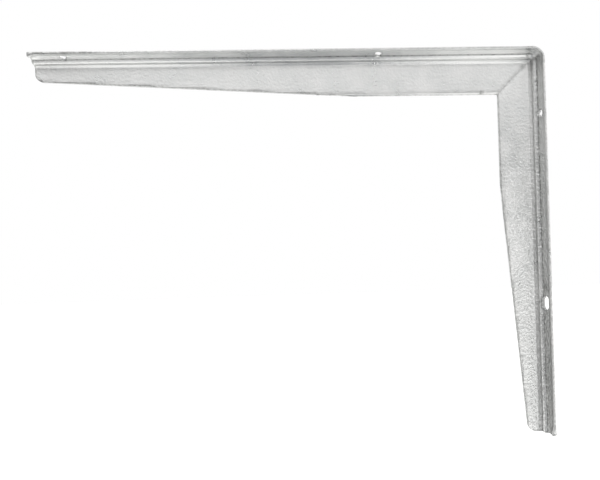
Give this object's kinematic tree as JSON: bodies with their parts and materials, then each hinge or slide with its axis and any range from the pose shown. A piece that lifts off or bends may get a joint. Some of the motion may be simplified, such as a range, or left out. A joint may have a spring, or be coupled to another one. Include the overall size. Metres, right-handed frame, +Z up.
{
  "type": "shelf bracket",
  "caption": "L-shaped shelf bracket folded from galvanised steel strip, with a doubled tapering web, a stepped head with bearing leaves and a mitred corner.",
  "frame": {"origin": "on the wall face, midway between the upper pair of wall screw holes", "axes": "+X into the wall, square to the wall face; +Z up the wall arm; the shelf arm runs out towards -X; Y across the leaves, with Y = 0 the plane of symmetry"},
  "size_m": [0.3301, 0.035, 0.2563],
  "materials": {
    "galvanised_steel": "hot-dip zinc coat, dull and lightly mottled"
  },
  "bodies": {
    "root": {"bracket": "galvanised_steel"}
  },
  "joints": []
}
